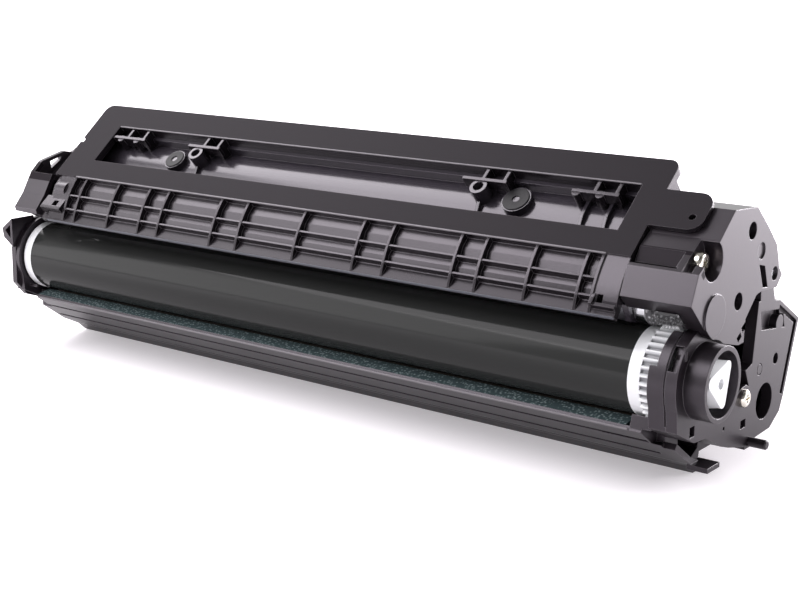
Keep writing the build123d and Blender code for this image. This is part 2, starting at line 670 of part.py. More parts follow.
def developer_frame():
    """Top plate with its window, and the ribbed guide that leads down to the drum."""
    body = bar(plate_left, plate_right, plate_front, plate_back, plate_top - plate_thickness, plate_top)
    corners = body.edges().filter_by(Axis.Z).group_by(Axis.Y)[-1]
    body = fillet(corners, 3.0)
    window_right = drum_length - window_right_inset
    body -= bar(window_left, window_right, window_front, window_back, plate_top - plate_thickness, plate_top)
    # Tab over the gear cover
    tab = bar(plate_right - 1, plate_right + tab_length, tab_front, tab_back, plate_top - tab_thickness, plate_top)
    tab = fillet(tab.edges().filter_by(Axis.Z).group_by(Axis.X)[-1], 4.0)
    body += tab
    body -= Pos(plate_right + tab_length - 3.6, tab_front + 4.2, plate_top) * Cylinder(1.0, 6)
    body -= bar(plate_left, plate_left + 1.4, 30.6, 32.6, plate_top - plate_thickness, plate_top)
    # Walls under the plate
    under = plate_top - plate_thickness
    lip = guide_lip - guide_floor
    body += bar(plate_left, plate_right, plate_front, plate_front + 1.6, lip, under)
    body += bar(plate_left, plate_right, plate_front + 1.6, window_front - 1.6, lip, lip + 1.8)
    for x in (hopper_left + 8, hopper_right - 8):
        body -= Pos(x, 20.0, lip + 0.7) * Cylinder(0.9, 1.4)
    body += bar(plate_left, plate_right, window_front - 1.6, window_front, 17.0, under)
    body += bar(plate_left, plate_right, 42.0, 43.6, 15.0, under)
    body += bar(window_left, window_right, window_back, window_back + 1.4, 20.0, under)
    for x0 in (plate_left, plate_right - 1.6):
        body += bar(x0, x0 + 1.6, plate_front, 43.6, 17.0, under)
    for x0, x1 in rib_pairs:
        rail_y = window_back - 4.8
        for x in (x0, x1):
            body += bar(x, x + rib, rail_y, window_back + 0.5, 19.0, plate_top - 0.4)
        body += bar(x0 - rail_reach, x1 + 0.4 + rib, rail_y, rail_y + rib, 24.0, plate_top - 0.4)
    for x in (26.6, 34.4, *from_right(29.6, 22.2)):
        body += Pos(x, rail_y + 0.2, 22.6) * Cylinder(1.3, 9.2)
    # Floor of the guide, its ribs and plain ends
    guide_right = plate_right
    grid_right = drum_length - grid_right_inset
    body += slab(guide_floor_section(lip), guide_left, guide_right)
    for x in (grid_left - grid_rib, *grid_ribs, grid_right):
        body += slab(guide_profile(0), x, x + grid_rib)
    for y in (8.3, 3.9):
        body += bar(grid_left, grid_right, y - 0.3, y + 0.3, guide_height(y) - 3.0, guide_height(y) - 0.2)
    skin = guide_profile(0.5) - Pos(0.4, -1.6) * guide_profile(0.5)
    body += slab(skin, guide_left + 3, grid_left) + slab(skin, grid_right, guide_right)
    # Lugs with square holes at both ends of the guide
    body += bar(guide_left, grid_left - 1.5, 2.3, 7.6, guide_lip - 0.5, guide_lip + 3.4)
    body -= bar(guide_left + 5.0, guide_left + 7.4, 3.6, 5.8, guide_lip + 1.2, guide_lip + 3.4)
    body += Pos(0, 11.0, 24.6) * Rot(0, 90, 0) * Cylinder(2.9, 5.0).translate((0, 0, guide_left + 5.5))
    body += bar(grid_right + 0.6, guide_right, 1.3, 2.3, guide_lip - 0.5, guide_lip + 1.9)
    body += bar(grid_right + 0.6, grid_right + 1.5, 1.3, 4.6, guide_lip - 0.5, guide_lip + 2.6)
    body -= bar(grid_right + 1.9, grid_right + 3.7, 2.5, 4.6, guide_lip - 0.8, guide_lip + 4.0)
    # Post that the gear cover's screw enters
    body += rod(cover_screw_axis, cover_post_radius, plate_right, boss_start)
    body -= rod(cover_screw_axis, 1.2, plate_right + 2, boss_start)
    return body - hopper_outer(hopper_left, hopper_right) - hopper_fittings()


gear_cover_outline = (
    (12.2, 28.2), (24.9, 26.4), (35.4, 26.4), (44.8, 17.3), (46.5, 7.2), (47.3, -0.5), (46.0, -4.3),
    (44.8, -7.0), (44.9, -10.2), (40.6, -10.6), (33.2, -3.6), (30.9, -2.3), (22.9, -2.6), (18.6, -7.1),
    (16.1, -5.2), (9.0, 4.8), (6.4, 10.8), (4.9, 24.6),
)
gear_box_outline = (
    (12.2, 28.2), (24.9, 26.4), (35.4, 26.4), (44.8, 17.3), (46.5, 7.2), (46.9, -2.6), (17.0, -2.6),
    (9.0, 4.8), (6.4, 10.8), (4.9, 24.6),
)


def gear_cover():
    plate = section(*gear_cover_outline) - Circle(collar_outer + 0.9)
    body = slab(plate, cover_inner, cover_face)
    box = section(*gear_box_outline)
    shell = box - offset(box, -wall)
    body += slab(shell, cover_start, cover_inner)
    step = section((13.3, 25.5), (19.6, 27.1), (19.6, 30.0), (13.3, 30.0))
    body -= slab(step, cover_start, screw_seat - 1.5)
    # Open below towards the drum, the roller's gear and the end plate's ear
    body -= rod((0, 0), end_radius + 0.6, cover_start, cover_inner)
    body -= rod(roller_axis, roller_radius + 2.4, cover_start, shroud_end - 0.8)
    body -= bar(cover_start, shroud_end - 0.8, 0, 13.6, -4, 19.5)
    body -= rod(hinge_axis, 3.9, cover_start, cover_inner)
    body -= bar(cover_start, cover_inner, hinge_axis[0] - 3.9, hinge_axis[0] + 3.9, -14, hinge_axis[1])
    # Screw recess, open at the top and front
    body += slab((Pos(*recess_centre) * Circle(recess_radius + 1.2)) & box, boss_start, cover_inner)
    mouth = section((12.6, 23.0), (12.6, 30.0), (22.4, 30.0), (20.0, 24.0), (16.4, 22.6))
    body -= slab(mouth, screw_seat, cover_face - 2.2)
    body -= rod(recess_centre, recess_radius, screw_seat, cover_face)
    body -= rod(cover_screw_axis, 1.2, boss_start, screw_seat)
    body -= rod(cover_screw_axis, cover_post_radius, cover_start, boss_start)
    # Holes and windows in the face
    body -= rod(hinge_axis, hinge_pin_radius + running_fit, cover_inner, cover_face)
    body -= rod(level((20.8, 36.1)), 2.4, cover_inner, cover_face)
    body -= rod(level((14.4, 18.4)), 2.4, cover_inner, cover_face)
    slot = section(*[level(p) for p in ((26.0, 26.2), (29.6, 25.3), (32.0, 19.1), (28.9, 19.4))])
    body -= slab(slot, cover_inner, cover_face)
    for p in ((18.5, 10.6), (16.0, 8.4)):
        window = Pos(*level(p)) * Rot(0, 0, -8) * Rectangle(2.4, 1.7)
        body -= slab(window, cover_inner, cover_face)
    body -= rod(level((27.0, 29.8)), 2.3, cover_face - 0.5, cover_face)
    # Raised disc over the roller's end, and the idler's stud
    disc = slab((Pos(*roller_axis) * Circle(5.6)) & (section(*gear_cover_outline) - Circle(collar_outer + 0.9)),
                cover_face, cover_face + 0.5)
    body += disc
    body += rod(idler_axis, stud_radius, gear_start, cover_inner)
    return body


def gear_cover_screw():
    return cross_head_screw(cover_screw_axis, screw_seat, 1, 2.9, 1.2, 8.0, 2.4)


left_cover_outline = (
    (1.4, 21.4), (2.0, 22.9), (7.9, 23.9), (12.6, 25.6), (15.6, 26.6), (20.6, 26.8), (29.9, 22.2),
    (32.5, 19.0), (38.0, 17.4), (44.2, 13.0), (45.8, 5.0), (46.4, -2.0), (44.9, -10.2), (40.6, -10.6),
    (33.2, -3.6), (22.9, -2.6), (17.0, -2.6), (9.0, 4.8), (5.1, 15.5),
)


def left_end_cover():
    x0, x1 = left_outer + unit_gap, hopper_left
    plate = section(*left_cover_outline) - Circle(end_radius + 0.6)
    body = slab(plate, x0, x0 + wall)
    box = section(
        (1.4, 21.4), (2.0, 22.9), (7.9, 23.9), (12.6, 25.6), (15.6, 26.6), (20.0, 20.4), (32.5, 19.0),
        (38.0, 17.4), (44.2, 13.0), (45.8, 5.0), (46.4, -2.6), (17.0, -2.6), (9.0, 4.8), (5.1, 15.5),
    )
    shell = box - offset(box, -wall)
    wide = drum_radius + 2.4
    body += slab(shell - Circle(wide), x0 + wall, cover_block_end)
    back = section((24.0, 20.0), (32.5, 19.0), (38.0, 17.4), (44.2, 13.0), (45.8, 5.0), (46.4, -2.6), (24.0, -2.6))
    body += slab(back - offset(back, -wall), cover_block_end, x1)
    body -= rod((0, 0), wide, x0, x1)
    # Loop arm
    loop = section((21.6, 22.0), (23.0, 24.2), (27.6, 21.9), (26.8, 21.2))
    body -= slab(loop, x0, x1)
    body -= rod(hinge_axis, hinge_pin_radius + running_fit, x0, x0 + wall)
    body -= rod(level((20.8, 36.1)), 2.4, x0, x0 + wall)
    body -= rod(roller_axis, magnet_shaft + 0.02, x0, x0 + wall)
    # Pillar for the screw
    for p in left_screw_places:
        body -= rod(p, 1.2, x0, x0 + wall)
    return body


left_screw_places = ((29.0, 13.6), (37.8, 11.2))
cover_block_end = 6.0


def end_cover_screws():
    x0 = left_outer + unit_gap
    return [cross_head_screw(p, x0, -1, 2.3, 1.2, 10.5) for p in left_screw_places]


def screw_pillars():
    """Posts on the hopper's left end that the end cover's screws enter."""
    x0 = left_outer + unit_gap + wall
    pillars = [ring(p, 2.6, 1.2, x0, hopper_left) for p in left_screw_places]
    return pillars


def doctor_bracket():
    y = doctor_tip[0] + doctor_thickness
    face = section((y, 16.4), (y + 1.2, 16.4), (y + 1.2, 18.4), (21.2, 18.4), (21.2, 19.6), (y, 19.6))
    body = slab(face, hopper_left + 3, hopper_right - 3)
    for x in (hopper_left + 8, hopper_right - 8):
        body -= Pos(x, 20.0, 19.0) * Cylinder(0.9, 1.4)
    return body


def doctor_blade():
    y, z = doctor_tip
    return slab(section((y, z), (y + doctor_thickness, z), (y + doctor_thickness, 19.6), (y, 19.6)),
                hopper_left + 4, hopper_right - 4)


def doctor_screws():
    screws = []
    for x in (hopper_left + 8, hopper_right - 8):
        head = Pos(0, 0, -0.6) * Cylinder(1.4, 1.2)
        screws.append(Pos(x, 20.0, 18.4) * (head + Pos(0, 0, 1.3) * Cylinder(0.9, 2.6)))
    return screws


def developer_sleeve():
    return ring(roller_axis, roller_radius, roller_radius - sleeve_wall, hopper_left + wall + 0.4, hopper_right - wall - 0.4)


def developer_roller_hub():
    """Drive end of the sleeve: a plug in the tube and the shaft that carries its gear."""
    x1 = hopper_right - wall - 0.4
    body = rod(roller_axis, roller_radius - sleeve_wall, x1 - 6, x1)
    body += rod(roller_axis, roller_shaft, x1, gear_start + gear_width + 0.4)
    return body - rod(roller_axis, magnet_shaft + running_fit, x1 - 6, x1 - 2)


def sleeve_left_plug():
    x0 = hopper_left + wall + 0.4
    body = rod(roller_axis, roller_radius - sleeve_wall, x0, x0 + 6)
    body += rod(roller_axis, roller_shaft + 0.9, hopper_left - 1.0, x0)
    return body - rod(roller_axis, magnet_shaft + running_fit, hopper_left - 1.0, x0 + 6)


def developer_roller_gear():
    body = gear(roller_axis, roller_teeth, roller_phase, gear_start, gear_start + gear_width)
    return body - rod(roller_axis, roller_shaft, gear_start, gear_start + gear_width)


def roller_bushings():
    outer = roller_bushing_radius()
    right = ring(roller_axis, outer, roller_shaft + running_fit, hopper_right - wall, drum_length + 1.5)
    right += ring(roller_axis, outer - 0.9, roller_shaft + running_fit, drum_length + 1.5, drum_length + 4.1)
    left = ring(roller_axis, outer, roller_shaft + 0.9 + running_fit, hopper_left - 1.0, hopper_left + wall)
    return [right, left]


def magnet_core():
    x0, x1 = hopper_left + wall + 0.4, hopper_right - wall - 0.4
    body = rod(roller_axis, roller_radius - sleeve_wall - magnet_gap, x0 + 6.5, x1 - 6.5)
    return body + rod(roller_axis, magnet_shaft, left_outer + unit_gap, x1 - 2.4)


def idler_gear():
    x1 = gear_start + gear_width
    body = gear(idler_axis, idler_teeth, idler_phase, gear_start, x1)
    body += gear(idler_axis, idler_small_teeth, idler_phase, x1, x1 + small_gear_width)
    return body - rod(idler_axis, stud_radius + running_fit, gear_start, x1 + small_gear_width)


def agitator_gear():
    x0 = gear_start + gear_width + 0.3
    body = gear(agitator_axis, agitator_teeth, agitator_phase, x0, x0 + small_gear_width - 0.4)
    body += rod(agitator_axis, agitator_shaft_radius + 1.4, x0 - 3.0, x0)
    return body - rod(agitator_axis, agitator_shaft_radius, x0 - 3.0, x0 + small_gear_width)


def agitator_shaft():
    return rod(agitator_axis, agitator_shaft_radius, hopper_left + 0.7, gear_start + gear_width + small_gear_width)


def agitator_film():
    y, z = agitator_axis
    return bar(hopper_left + 6, hopper_right - 6, y - agitator_reach, y - agitator_shaft_radius,
               z - film_thickness / 2, z + film_thickness / 2)


def fill_cap():
    body = rod(fill_axis, fill_radius, hopper_left - 0.2, hopper_left + wall)
    return body + rod(fill_axis, fill_radius + 0.7, hopper_left - 1.2, hopper_left)


def contact(face, x0, x1):
    return slab(face, x0, x1)


def charge_contact():
    face = section((11.0, -13.8), (19.5, -13.8), (19.5, -5.0), (16.0, -5.0), (16.0, -10.4), (11.0, -10.4))
    return slab(face, left_face - 0.4, left_face)


def developer_contact():
    face = section((12.0, 14.5), (18.5, 14.5), (22.0, 19.0), (22.0, 22.0), (17.0, 22.0), (12.0, 18.0))
    return slab(face, left_outer + unit_gap - 0.4, left_outer + unit_gap)


def toner_nodes():
    hopper = toner_hopper()
    for pillar in screw_pillars():
        hopper += pillar
    return {
        "developer_frame": developer_frame(),
        "toner_hopper": hopper,
        "gear_cover": gear_cover(),
        "left_end_cover": left_end_cover(),
        "gear_cover_screw": gear_cover_screw(),
        "end_cover_screws": end_cover_screws(),
        "fill_cap": fill_cap(),
        "doctor_bracket": doctor_bracket(),
        "doctor_blade": doctor_blade(),
        "doctor_screws": doctor_screws(),
        "roller_bushings": roller_bushings(),
        "magnet_core": magnet_core(),
        "developer_contact": developer_contact(),
        "developer_sleeve": developer_sleeve(),
        "roller_drive_hub": developer_roller_hub(),
        "roller_left_hub": sleeve_left_plug(),
        "developer_roller_gear": developer_roller_gear(),
        "idler_gear": idler_gear(),
        "agitator_shaft": agitator_shaft(),
        "agitator_film": agitator_film(),
        "agitator_gear": agitator_gear(),
    }


def cleaning_nodes():
    return {
        "waste_housing": waste_housing(),
        "waste_cover": waste_cover(),
        "right_side_plate": right_side_plate() + locating_plate(),
        "left_side_plate": left_side_plate(),
        "side_plate_screws": side_plate_screws(),
        "hinge_pins": hinge_pins(),
        "locating_pin": locating_pin_node(),
        "drum_axle": drum_axle(),
        "charge_bearings": charge_bearings(),
        "charge_springs": charge_springs(),
        "charge_contact": charge_contact(),
        "wiper_bracket": wiper_bracket(),
        "wiper_blade": wiper_blade(),
        "wiper_screws": wiper_screws(),
        "drum_seal_strip": drum_seal_strip(),
        "drum_tube": drum_tube(),
        "drum_drive_flange": drum_drive_flange(),
        "drum_left_flange": drum_left_flange(),
        "charge_roller_shaft": charge_roller_shaft(),
        "charge_roller_rubber": charge_roller_rubber(),
    }


def locating_plate():
    return locating_boss(shroud_end, bearing_face) - rod(locating_pin, locating_root, shroud_end, bearing_face)


def as_shape(item):
    return Compound(item) if isinstance(item, list) else item


def main():
    nodes = {name: as_shape(item) for name, item in cleaning_nodes().items()}
    nodes.update({name: tilted(as_shape(item)) for name, item in toner_nodes().items()})
    boxes = [shape.bounding_box() for shape in nodes.values()]
    low = [min(tuple(b.min)[k] for b in boxes) for k in range(3)]
    high = [max(tuple(b.max)[k] for b in boxes) for k in range(3)]
    shift = Pos(-(low[0] + high[0]) / 2, -(low[1] + high[1]) / 2, -low[2])
    os.makedirs("parts", exist_ok=True)
    for name, shape in nodes.items():
        export_step(shift * shape, f"parts/{name}.step")
    print("shift", shift.position, "size", [high[k] - low[k] for k in range(3)])
    print("roller axis", world(roller_axis), "idler axis", world(idler_axis), "agitator axis", world(agitator_axis))
    print("hinge", world(hinge_axis), "charge axis", charge_axis)


main()
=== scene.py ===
import json
import math
import random

import bpy
from mathutils import Euler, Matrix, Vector


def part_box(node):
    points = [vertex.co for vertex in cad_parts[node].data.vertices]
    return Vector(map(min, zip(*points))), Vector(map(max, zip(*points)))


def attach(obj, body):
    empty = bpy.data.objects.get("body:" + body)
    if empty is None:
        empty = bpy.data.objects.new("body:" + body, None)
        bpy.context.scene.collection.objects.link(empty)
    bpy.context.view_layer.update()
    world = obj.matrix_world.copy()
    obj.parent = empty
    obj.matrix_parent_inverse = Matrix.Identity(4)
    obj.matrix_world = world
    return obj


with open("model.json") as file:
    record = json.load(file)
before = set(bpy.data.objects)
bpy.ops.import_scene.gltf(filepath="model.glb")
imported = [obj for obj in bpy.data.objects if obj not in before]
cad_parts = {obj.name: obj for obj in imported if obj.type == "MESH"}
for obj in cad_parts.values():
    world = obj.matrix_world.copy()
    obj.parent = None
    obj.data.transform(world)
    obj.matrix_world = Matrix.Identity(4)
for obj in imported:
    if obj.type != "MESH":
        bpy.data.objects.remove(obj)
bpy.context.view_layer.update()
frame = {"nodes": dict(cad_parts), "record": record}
MM = 0.001

# The drum's axis and left end are where every place below is measured from, in millimetres.
drum_low, drum_high = (Vector(corner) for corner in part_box("drum_tube"))
ORIGIN = Vector((drum_low.x, (drum_low.y + drum_high.y) / 2, (drum_low.z + drum_high.z) / 2))
DRUM_LENGTH = (drum_high.x - drum_low.x) / MM

# The toner unit's section is drawn level and then tilted. These are its directions in the row frame.
TILT = math.radians(40)
TONER_BACK = (0, math.cos(TILT), math.sin(TILT))
TONER_UP = (0, -math.sin(TILT), math.cos(TILT))


def place(x, y, z):
    """Point given in the cleaning unit's section, as metres in the row frame."""
    return ORIGIN + Vector((x, y, z)) * MM


def lean(x, y, z):
    """Point given in the level toner section, as metres in the row frame."""
    return place(x, y * math.cos(TILT) - z * math.sin(TILT), y * math.sin(TILT) + z * math.cos(TILT))


# Shader nodes


def feed(tree, socket, value):
    """Constant, or another node's output, for a node's input."""
    if isinstance(value, bpy.types.NodeSocket):
        tree.links.new(value, socket)
    else:
        socket.default_value = value


def ramp(tree, value, start, end, low=0.0, high=1.0):
    """Value taken from one range to another and held at both ends."""
    node = tree.nodes.new("ShaderNodeMapRange")
    for name, amount in (("Value", value), ("From Min", start), ("From Max", end), ("To Min", low), ("To Max", high)):
        feed(tree, node.inputs[name], amount)
    return node.outputs["Result"]


def combined(tree, operation, *values):
    """Result of a math node."""
    node = tree.nodes.new("ShaderNodeMath")
    node.operation = operation
    for socket, value in zip(node.inputs, values):
        feed(tree, socket, value)
    return node.outputs[0]


def vector(tree, operation, *values):
    """Result of a vector math node."""
    node = tree.nodes.new("ShaderNodeVectorMath")
    node.operation = operation
    for socket, value in zip(node.inputs, values):
        feed(tree, socket, value)
    return node.outputs["Value" if operation in ("DOT_PRODUCT", "LENGTH") else "Vector"]


def mixed(tree, factor, color, other):
    """Colour between two."""
    node = tree.nodes.new("ShaderNodeMix")
    node.data_type = "RGBA"
    for name, value in (("A", (*color, 1.0)), ("B", (*other, 1.0)), ("Factor", factor)):
        feed(tree, node.inputs[name], value)
    return node.outputs["Result"]


def object_point(tree):
    return tree.nodes.new("ShaderNodeTexCoord").outputs["Object"]


def noise(tree, scale, detail):
    """Uneven pattern that stays with the object."""
    node = tree.nodes.new("ShaderNodeTexNoise")
    for name, value in (("Vector", object_point(tree)), ("Scale", scale), ("Detail", detail)):
        feed(tree, node.inputs[name], value)
    return node.outputs["Fac"]


# Materials

COAT_ROUGHNESS = 0.12
# A paler edge, a painted highlight, starts and is full where the rounded normal leans from the face's by these
# cosines.
EDGE_STARTS, EDGE_FULL = 0.97, 0.8
GRAIN_DEPTH = 0.0001
PATCH_SCALE = 60.0


def new_material(name, color, roughness, metallic=0.0, coat=0.0, grain=0.0, grain_scale=900.0, specular=0.5,
                 spread=0.0, bevel=0.0002, tint=(1, 1, 1), edge=None):
    """Principled material with fine moulded grain, rounded edges that may be painted paler as a highlight, and uneven
    gloss.
    """
    material = bpy.data.materials.new(name)
    material.use_nodes = True
    tree = material.node_tree
    inputs = tree.nodes["Principled BSDF"].inputs
    for socket, value in (("Base Color", (*color, 1.0)), ("Roughness", roughness), ("Metallic", metallic),
                          ("Coat Weight", coat), ("Coat Roughness", COAT_ROUGHNESS),
                          ("Specular IOR Level", specular), ("Specular Tint", (*tint, 1.0))):
        inputs[socket].default_value = value
    normal = None
    if bevel:
        rounded = tree.nodes.new("ShaderNodeBevel")
        rounded.samples = 4
        rounded.inputs["Radius"].default_value = bevel
        normal = rounded.outputs["Normal"]
    # Painted highlight: the base colour turns to the edge colour at rounded edges.
    if edge:
        face = tree.nodes.new("ShaderNodeNewGeometry").outputs["Normal"]
        rim = ramp(tree, vector(tree, "DOT_PRODUCT", normal, face), EDGE_STARTS, EDGE_FULL)
        feed(tree, inputs["Base Color"], mixed(tree, rim, color, edge))
    if grain:
        bump = tree.nodes.new("ShaderNodeBump")
        bump.inputs["Strength"].default_value = grain
        bump.inputs["Distance"].default_value = GRAIN_DEPTH
        feed(tree, bump.inputs["Height"], noise(tree, grain_scale, 3.0))
        if normal:
            feed(tree, bump.inputs["Normal"], normal)
        normal = bump.outputs["Normal"]
    if normal:
        feed(tree, inputs["Normal"], normal)
    if spread:
        patches = ramp(tree, noise(tree, PATCH_SCALE, 4.0), 0.0, 1.0, roughness - spread, roughness + spread)
        feed(tree, inputs["Roughness"], patches)
    return material


# The lowest step of the ribbed guide ends this far back, and is duller than the steps above it.
LOWEST_STEP_BACK = 3.4
LOWEST_STEP_SPECULAR = 0.24


def smooth_below(material, height, smooth, grained):
    """Roughness and specular level that change where the toner unit's surface rises above a height."""
    tree = material.node_tree
    inputs = tree.nodes["Principled BSDF"].inputs
    above = vector(tree, "DOT_PRODUCT", object_point(tree), TONER_UP)
    level = lean(0, 0, height).dot(Vector(TONER_UP))
    roughness, specular = (ramp(tree, above, level - 0.1 * MM, level + 0.1 * MM, low, high)
                           for low, high in zip(smooth, grained))
    behind = vector(tree, "DOT_PRODUCT", object_point(tree), TONER_BACK)
    start = lean(0, LOWEST_STEP_BACK, 0).dot(Vector(TONER_BACK))
    dull = ramp(tree, behind, start - 0.2 * MM, start + 0.2 * MM, LOWEST_STEP_SPECULAR, 1.0)
    feed(tree, inputs["Roughness"], roughness)
    feed(tree, inputs["Specular IOR Level"], combined(tree, "MINIMUM", specular, dull))


def dull_trough(material, back, up, specular, dull):
    """Less gloss inside a box of the toner section, where the cover has its trough."""
    tree = material.node_tree
    inside = None
    for axis, (start, end) in ((TONER_BACK, back), (TONER_UP, up)):
        along = vector(tree, "DOT_PRODUCT", object_point(tree), axis)
        middle = ORIGIN.dot(Vector(axis)) + (start + end) / 2 * MM
        near = combined(tree, "COMPARE", along, middle, (end - start) / 2 * MM)
        inside = combined(tree, "MULTIPLY", inside, near) if inside else near
    feed(tree, tree.nodes["Principled BSDF"].inputs["Specular IOR Level"],
         ramp(tree, inside, 0.0, 1.0, specular, dull))


def shade_tooth_roots(material, teeth, root, tip, color, root_shade):
    """White plastic with painted shade, darker towards the roots of the drum gear's teeth."""
    tree = material.node_tree
    parts = tree.nodes.new("ShaderNodeSeparateXYZ")
    feed(tree, parts.inputs[0], vector(tree, "SUBTRACT", object_point(tree), ORIGIN))
    across = tree.nodes.new("ShaderNodeCombineXYZ")
    for axis in "YZ":
        feed(tree, across.inputs[axis], parts.outputs[axis])
    unshaded = ramp(tree, vector(tree, "LENGTH", across.outputs["Vector"]), root * MM, tip * MM)
    for operation, end in zip(("LESS_THAN", "GREATER_THAN"), teeth):
        unshaded = combined(tree, "MAXIMUM", unshaded, combined(tree, operation, parts.outputs["X"], end * MM))
    feed(tree, tree.nodes["Principled BSDF"].inputs["Base Color"], mixed(tree, unshaded, root_shade, color))


def speckled(name, dark, light, scale):
    """Felt with pale specks in a dark ground."""
    material = new_material(name, dark, 0.95, specular=0.1, grain=0.6, grain_scale=1400.0, bevel=0)
    tree = material.node_tree
    specks = tree.nodes.new("ShaderNodeTexVoronoi")
    specks.inputs["Scale"].default_value = scale
    feed(tree, specks.inputs["Vector"], object_point(tree))
    shades = tree.nodes.new("ShaderNodeValToRGB")
    for element, at, color in zip(shades.color_ramp.elements, (0.1, 0.45), (light, dark)):
        element.position = at
        element.color = (*color, 1)
    feed(tree, shades.inputs["Fac"], specks.outputs["Distance"])
    feed(tree, tree.nodes["Principled BSDF"].inputs["Base Color"], shades.outputs["Color"])
    return material


PLUM = (0.98, 0.91, 1.0)
# Edge colour of the black plastics, a painted edge highlight along their rounded edges.
PAINTED_EDGE_HIGHLIGHT = (0.15, 0.138, 0.15)
IVORY = (0.86, 0.87, 0.89)
GRAIN_STARTS = 27.8
DRUM_TEETH = (DRUM_LENGTH + 3.45, DRUM_LENGTH + 10.05)

black = new_material("black_plastic", (0.014, 0.011, 0.014), 0.36, grain=0.1, spread=0.05, bevel=0.0003,
                     tint=PLUM, edge=PAINTED_EDGE_HIGHLIGHT)
black_top = new_material("black_plastic_grained", (0.010, 0.008, 0.010), 0.7, grain=0.15, bevel=0.0003,
                         tint=PLUM, edge=PAINTED_EDGE_HIGHLIGHT)
smooth_below(black_top, GRAIN_STARTS, (0.27, 0.6), (0.7, 0.24))
black_gloss = new_material("hopper_plastic", (0.028, 0.024, 0.031), 0.22, coat=0.35, bevel=0.0003, tint=PLUM)
black_cover = new_material("cover_plastic", (0.015, 0.012, 0.015), 0.3, grain=0.08, spread=0.04, bevel=0.0003,
                           tint=PLUM, edge=PAINTED_EDGE_HIGHLIGHT)
dull_trough(black_cover, (13.0, 20.0), (25.2, 27.3), 0.7, 0.06)
drum_coat = new_material("photoconductor", (0.026, 0.0268, 0.0264), 0.12, bevel=0, specular=0.13)
white = new_material("white_plastic", IVORY, 0.35, grain=0.05)
gear_white = new_material("gear_plastic", IVORY, 0.35, grain=0.05)
# Painted shade: the gear's white darkens towards the roots of its teeth, where shade falls between them.
shade_tooth_roots(gear_white, DRUM_TEETH, 11.55, 12.6, IVORY, (0.3, 0.3, 0.32))
strip_film = new_material("edge_film", (0.075, 0.08, 0.1), 0.3, grain=0.05)
pad_black = new_material("pad_rubber", (0.013, 0.012, 0.014), 0.5, grain=0.2, specular=0.3)
# Bead plastic far paler than the black plastic it edges: a painted highlight along the plate's front edge, the
# window's back edge and the lip.
bead_highlight = new_material("edge_plastic", (0.14, 0.132, 0.14), 0.3, grain=0.05, tint=PLUM)
fuzz = speckled("grey_felt", (0.13, 0.13, 0.135), (0.72, 0.72, 0.74), 1000.0)
grey = new_material("grey_plastic", (0.42, 0.42, 0.43), 0.4)
steel = new_material("steel", (0.55, 0.56, 0.58), 0.2, metallic=1.0)
nickel = new_material("screw_steel", (0.82, 0.78, 0.7), 0.16, metallic=1.0)
sleeve = new_material("sleeve_metal", (0.09, 0.09, 0.1), 0.42, metallic=0.6, grain=0.3, bevel=0)
magnet = new_material("magnet", (0.05, 0.05, 0.05), 0.6)
rubber = new_material("roller_rubber", (0.015, 0.015, 0.015), 0.6)
blade = new_material("blade_rubber", (0.05, 0.035, 0.022), 0.5)
felt = speckled("seal_felt", (0.036, 0.054, 0.058), (0.2, 0.25, 0.255), 1100.0)
film = new_material("film", (0.12, 0.12, 0.12), 0.3)

by_slot = {
    "black_plastic": black, "hopper_plastic": black_gloss, "photoconductor": drum_coat, "white_plastic": white,
    "grey_plastic": grey, "steel": steel, "screw_steel": nickel, "sleeve_metal": sleeve, "magnet": magnet,
    "roller_rubber": rubber, "blade_rubber": blade, "seal_felt": felt, "film": film,
}
by_node = {"developer_frame": black_top, "gear_cover": black_cover, "left_end_cover": black_cover,
           "roller_drive_hub": steel, "drum_drive_flange": gear_white}
for part in frame["record"]["subparts"]:
    node = frame["nodes"][part["node"]]
    material = by_node.get(part["node"], by_slot[part["material_slot"]])
    node.data.materials.clear()
    node.data.materials.append(material)

# Pieces that are finer than the modelled bodies


def mesh_piece(name, corners, faces, material):
    """Named mesh object from corners in metres."""
    mesh = bpy.data.meshes.new(name)
    mesh.from_pydata(corners, [], faces)
    mesh.materials.append(material)
    obj = bpy.data.objects.new(name, mesh)
    bpy.context.scene.collection.objects.link(obj)
    return obj


PRISM_END = 0.12
PRISM_END_SCALE = 0.6


def prism(name, ring, x0, x1, material, put=lean):
    """Strip along the drum's axis with the given section, its ends drawn in a little."""
    middle = Vector((sum(y for y, z in ring) / len(ring), sum(z for y, z in ring) / len(ring)))
    corners, faces = [], []
    for x, shrink in ((x0, PRISM_END_SCALE), (x0 + PRISM_END, 1.0), (x1 - PRISM_END, 1.0), (x1, PRISM_END_SCALE)):
        for y, z in ring:
            corners.append(put(x, middle.x + (y - middle.x) * shrink, middle.y + (z - middle.y) * shrink))
    count = len(ring)
    for step in range(3):
        for k in range(count):
            nxt = (k + 1) % count
            faces.append((step * count + k, (step + 1) * count + k, (step + 1) * count + nxt, step * count + nxt))
    faces.append(tuple(range(count)))
    faces.append(tuple(reversed(range(3 * count, 4 * count))))
    return mesh_piece(name, corners, faces, material)


def bead_section(y, z, radius):
    return [(y + radius * math.cos(math.tau * k / 12), z + radius * math.sin(math.tau * k / 12)) for k in range(12)]


def turned_piece(name, turns, profile, corner, material, reverse=False):
    """Closed ring from a profile of point pairs; corner puts one of them at an angle."""
    corners = [corner(math.tau * k / turns, *point) for k in range(turns) for point in profile]
    count = len(profile)
    faces = []
    for k in range(turns):
        nxt = (k + 1) % turns
        for j in range(count):
            up = (j + 1) % count
            a, b, c, d = k * count + j, k * count + up, nxt * count + up, nxt * count + j
            faces.append((a, d, c, b) if reverse else (a, b, c, d))
    return mesh_piece(name, corners, faces, material)


